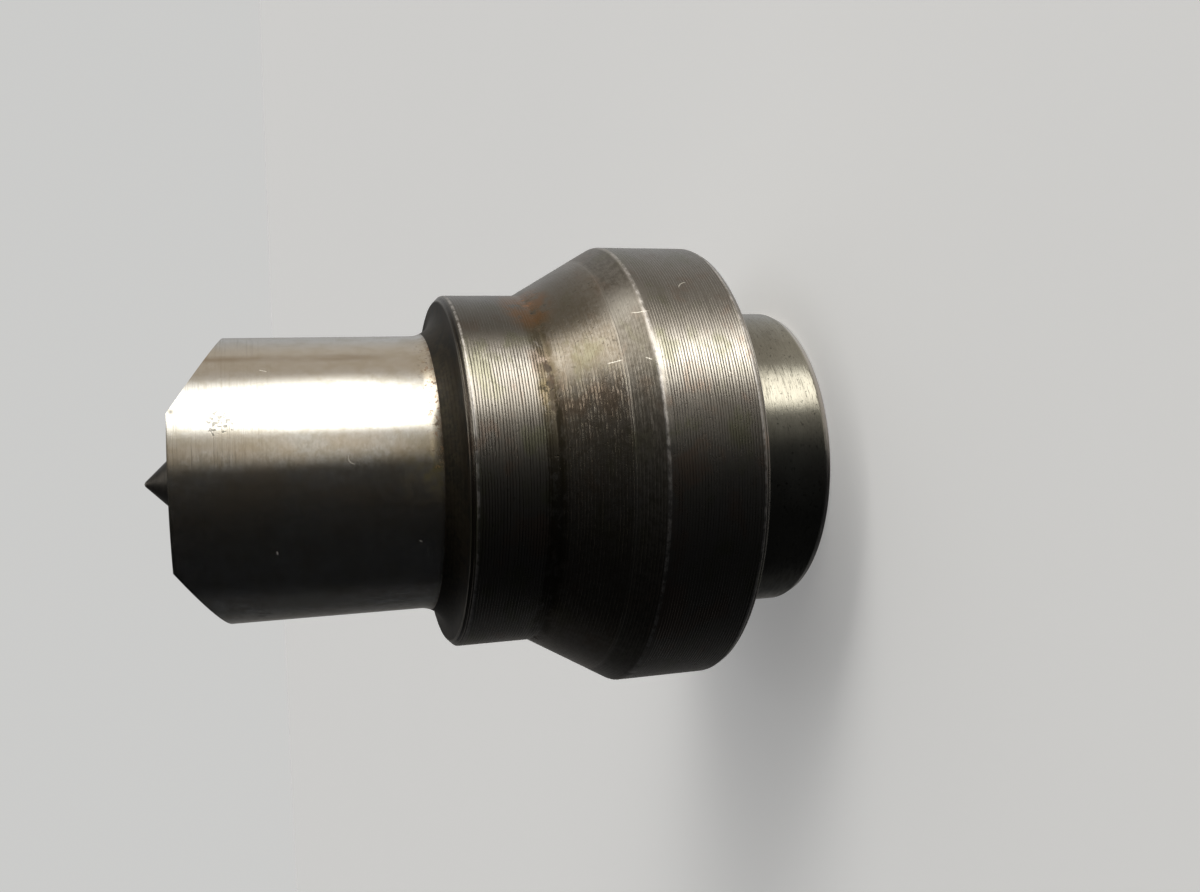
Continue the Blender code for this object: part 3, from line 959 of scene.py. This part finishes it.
def coil(low, high):
    """Wire wound round Z between two heights, its ends ground flat."""
    rise = high - low - 2 * WIRE_RADIUS
    bm = bmesh.new()
    rings = []
    for i in range(int(COIL_TURNS * STEPS_PER_TURN) + 1):
        turn = i / STEPS_PER_TURN
        angle = math.tau * turn
        out = Vector((math.cos(angle), math.sin(angle), 0))
        centre = out * COIL_RADIUS + Vector((0, 0, low + WIRE_RADIUS + coil_height(turn, rise)))
        ring = []
        for k in range(WIRE_SIDES):
            a = math.tau * k / WIRE_SIDES
            point = centre + out * (WIRE_RADIUS * math.cos(a)) + Vector((0, 0, WIRE_RADIUS * math.sin(a)))
            point.z = min(max(point.z, low + SPRING_GRINDING), high - SPRING_GRINDING)
            ring.append(bm.verts.new(point * MM))
        rings.append(ring)
    join_rings(bm, rings)
    bm.faces.new(rings[0])
    bm.faces.new(rings[-1])
    bmesh.ops.recalc_face_normals(bm, faces=bm.faces)
    return bm


def make_spring():
    """The coil spring, which the pin's slide squashes."""
    bm = coil(spring_low.z / MM, spring_high.z / MM)
    spring = finished("pin_spring_fine", bm, [spring_steel()], "punch", "pin_spring")
    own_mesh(spring)


def make_screw():
    """The set screw: a V thread, a chamfered end, and a hexagon socket open towards the spigot's end."""
    low, high = screw_low.z / MM, screw_high.z / MM
    socket_end = low + SOCKET_DEPTH
    socket = [(0, socket_end + SOCKET_DRILL_POINT), (SOCKET_FLATS, socket_end), (SOCKET_FLATS, low)]
    sides = [(SCREW_CREST, low + (high - low) * k / SCREW_ROWS) for k in range(SCREW_ROWS + 1)]
    rows = [*socket, (SCREW_END_RADIUS, low), *sides, (SCREW_END_RADIUS, high), (0, high)]

    def shape(radius, height, angle):
        if radius == SOCKET_FLATS:
            around = (angle + math.pi / 6) % (math.pi / 3) - math.pi / 6
            return SOCKET_FLATS / math.cos(around), height
        if radius < SCREW_ROOT:
            return radius, height
        chamfer = SCREW_ROOT + min(height - low, high - height) * 1.1
        cut_by = (SCREW_CREST - SCREW_ROOT) * thread_depth(height, angle) + THREAD_CLEARANCE
        return min(SCREW_CREST - cut_by, chamfer), height

    bm = lathe(rows, FINE_STEPS, shape=shape)
    finished("backing_screw_fine", bm, [black_oxide()], "punch", "backing_screw", 35)


# -------------------- camera, light and floor

CAMERA_AZIMUTH, CAMERA_ELEVATION = math.radians(3.4), math.radians(17.24)
CAMERA_ROLL = math.radians(-92.4)
CAMERA_DISTANCE = 103.7 * MM
CAMERA_TARGET = Vector((1.63, 0.1, 16.69)) * MM
CAMERA_LENS, CAMERA_SENSOR = 33.0, 36.0
CAMERA_CLIP = 5 * MM


def make_camera():
    """Close to the tool and above its middle, turned on its side so that the nose points left."""
    back = Vector((
        math.sin(CAMERA_AZIMUTH) * math.cos(CAMERA_ELEVATION),
        -math.cos(CAMERA_AZIMUTH) * math.cos(CAMERA_ELEVATION),
        math.sin(CAMERA_ELEVATION),
    ))
    data = bpy.data.cameras.new("camera")
    data.lens = CAMERA_LENS
    data.sensor_width = CAMERA_SENSOR
    data.clip_start = CAMERA_CLIP
    camera = bpy.data.objects.new("camera", data)
    bpy.context.scene.collection.objects.link(camera)
    place = Matrix.Translation(CAMERA_TARGET + back * CAMERA_DISTANCE)
    upright = back.to_track_quat("Z", "Y").to_matrix().to_4x4()
    camera.matrix_world = place @ upright @ Matrix.Rotation(CAMERA_ROLL, 4, "Z")
    bpy.context.scene.camera = camera


# Brightness of the room round the tool, without its window, by direction in degrees from -Y towards +X.
ROOM = (
    (-180, 0.30, (1.0, 0.97, 0.92)),
    (-150, 0.10, (1.0, 0.98, 0.96)),
    (-128, 0.045, (0.97, 1.0, 1.05)),
    (-110, 0.030, (0.97, 1.0, 1.05)),
    (-98, 0.012, (0.95, 1.0, 1.1)),
    (-88, 0.008, (0.95, 1.0, 1.1)),
    (-45, 0.008, (0.95, 1.0, 1.1)),
    (-12, 0.017, (0.95, 1.0, 1.08)),
    (4, 0.034, (0.96, 1.0, 1.05)),
    (14, 0.055, (0.98, 1.0, 1.0)),
    (26, 0.10, (1.0, 0.98, 0.93)),
    (38, 0.22, (1.0, 0.98, 0.92)),
    (84, 0.50, (1.0, 0.95, 0.88)),
    (98, 0.52, (1.0, 0.94, 0.86)),
    (112, 0.52, (1.0, 0.95, 0.88)),
    (128, 0.56, (1.0, 0.97, 0.92)),
    (150, 0.50, (1.0, 1.0, 1.0)),
    (180, 0.30, (1.0, 0.97, 0.92)),
)
WINDOW_BRIGHTNESS, WINDOW_TINT = 3.2, (1.0, 0.985, 0.94)
WINDOW_LOW_BRIGHTNESS = 1.22 * WINDOW_BRIGHTNESS
WINDOW_FROM, WINDOW_FROM_SLANT, WINDOW_SLANT_UP_TO = 43.5, 0.76, 35.0
WINDOW_TO, WINDOW_TO_LOW, WINDOW_TO_ADDED_HIGH = 91.0, 73.0, 11.0
WINDOW_FOOT = -38.0
LOW_WALL_BRIGHTNESS = 0.10
SILL_RISE, SILL_REACH = -2.5, 10.0
SILL_BRIGHTNESS, SILL_BRIGHTNESS_FAR = 0.82, 0.010
CEILING_BRIGHTNESS = 0.06
WALLS_HIGH_DARK_SIDE, WALLS_HIGH_LIT_SIDE, WALLS_BY_TABLE = 1.35, 0.6, 1.6
BACKDROP = (0.60, 0.60, 0.59)
FLOOR_LIFT, FLOOR_RADIUS, FLOOR_GAP = 0.235, 3.0, 0.05 * MM


def room_walls(n, turn, rise):
    """The dim walls all round."""
    ramp = n.tree.nodes.new("ShaderNodeValToRGB")
    n.plug(ramp.inputs[0], n.math("ADD", n.math("DIVIDE", turn, 360.0), 0.5))
    stops = ramp.color_ramp.elements
    while len(stops) < len(ROOM):
        stops.new(1.0)
    for stop, (degrees, brightness, tint) in zip(stops, ROOM):
        stop.position = (degrees + 180) / 360
        stop.color = (*(brightness * channel for channel in tint), 1)
    # Towards the ceiling the walls are dimmer on the window's side and a little lighter on the dark side.
    # Low down, by the pale table, they are lighter all round.
    high_up = n.step(turn, -5.0, 30.0, WALLS_HIGH_DARK_SIDE, WALLS_HIGH_LIT_SIDE)
    by_height = n.product(
        n.step(rise, 14.0, 44.0, 1.0, high_up),
        n.step(rise, -36.0, -24.0, WALLS_BY_TABLE, 1.0),
    )
    return n.vector("SCALE", ramp.outputs[0], scale=by_height)


def room_window(n, turn, rise):
    """The tall window, which starts further round the higher it reaches, and is brighter low down."""
    above = n.math("MINIMUM", n.math("MAXIMUM", rise, 0.0), WINDOW_SLANT_UP_TO)
    start = n.math("ADD", n.math("MULTIPLY", above, WINDOW_FROM_SLANT), WINDOW_FROM)
    end = n.math(
        "ADD",
        n.step(rise, -15.0, -1.0, WINDOW_TO_LOW, WINDOW_TO),
        n.step(rise, 24.0, 40.0, 0.0, WINDOW_TO_ADDED_HIGH),
    )
    inside = n.product(
        n.step(n.math("SUBTRACT", turn, start), -6.0, 5.0),
        n.step(n.math("SUBTRACT", turn, end), -14.0, 7.0, 1.0, 0.0),
        n.step(rise, WINDOW_FOOT - 4.0, WINDOW_FOOT + 4.0),
    )
    return n.product(inside, n.step(rise, -6.0, -24.0, WINDOW_BRIGHTNESS, WINDOW_LOW_BRIGHTNESS))


def room_sill_and_ceiling(n, turn, rise):
    """The window's light on the wall beside it, strongest at the height of the sill, and on the ceiling."""
    beside = n.product(n.step(turn, 10.0, 28.0), n.step(turn, 62.0, 44.0))
    low_wall = n.step(rise, 4.0, 24.0, LOW_WALL_BRIGHTNESS, 0.0)
    level = n.bell(rise, SILL_RISE, SILL_REACH)
    sill = n.product(beside, n.math("ADD", low_wall, n.product(level, SILL_BRIGHTNESS)))
    sill = n.math("ADD", sill, n.product(level, n.step(turn, -26.0, -6.0), SILL_BRIGHTNESS_FAR))
    return n.math("ADD", sill, n.step(rise, 50.0, 76.0, 0.0, CEILING_BRIGHTNESS))


def make_room():
    """Soft light: a tall slanted window on one side, dim walls, a faint ceiling, and a pale backdrop."""
    world = bpy.data.worlds.new("room")
    world.use_nodes = True
    bpy.context.scene.world = world
    n = Nodes(world.node_tree)
    new, link = n.tree.nodes.new, n.tree.links.new
    x, y, z = n.apart(new("ShaderNodeTexCoord").outputs["Generated"])
    turn = n.turn_from_front(x, y)
    rise = n.math("MULTIPLY", n.math("ARCSINE", z), 180 / math.pi)

    bright = n.math("ADD", room_window(n, turn, rise), room_sill_and_ceiling(n, turn, rise))
    glow = n.vector("SCALE", WINDOW_TINT, scale=bright)
    light = n.tree.nodes["Background"]
    link(n.vector("ADD", room_walls(n, turn, rise), glow), light.inputs["Color"])

    # The camera sees a plain backdrop instead of the room that lights the tool.
    backdrop = new("ShaderNodeBackground")
    backdrop.inputs["Color"].default_value = (*BACKDROP, 1)
    either = new("ShaderNodeMixShader")
    link(new("ShaderNodeLightPath").outputs["Is Camera Ray"], either.inputs[0])
    link(light.outputs[0], either.inputs[1])
    link(backdrop.outputs[0], either.inputs[2])
    link(either.outputs[0], n.tree.nodes["World Output"].inputs["Surface"])


def make_floor():
    """A plain pale floor. Reflections in the steel pass it by, so that they show the room alone."""
    bm = bmesh.new()
    bmesh.ops.create_circle(bm, cap_ends=True, segments=96, radius=FLOOR_RADIUS)
    mesh = bpy.data.meshes.new("floor")
    bm.to_mesh(mesh)
    bm.free()
    s = Shader("pale_floor")
    soft = s.noise(0.02, 0.02, detail=2.0)
    colour = s.mix(soft, FLOOR_PALE, FLOOR_PALER)
    s.surface.inputs["Emission Color"].default_value = (1.0, 1.0, 1.0, 1)
    s.surface.inputs["Emission Strength"].default_value = FLOOR_LIFT
    mesh.materials.append(s.done(colour, 0.9, metallic=0.0))
    floor = bpy.data.objects.new("floor", mesh)
    bpy.context.scene.collection.objects.link(floor)
    floor.location.z = -FLOOR_GAP
    floor.visible_glossy = False
    floor.visible_shadow = False


bpy.context.scene.view_settings.view_transform = "Standard"
make_camera()
make_room()
make_floor()
make_body()
make_pin()
make_spring()
make_screw()
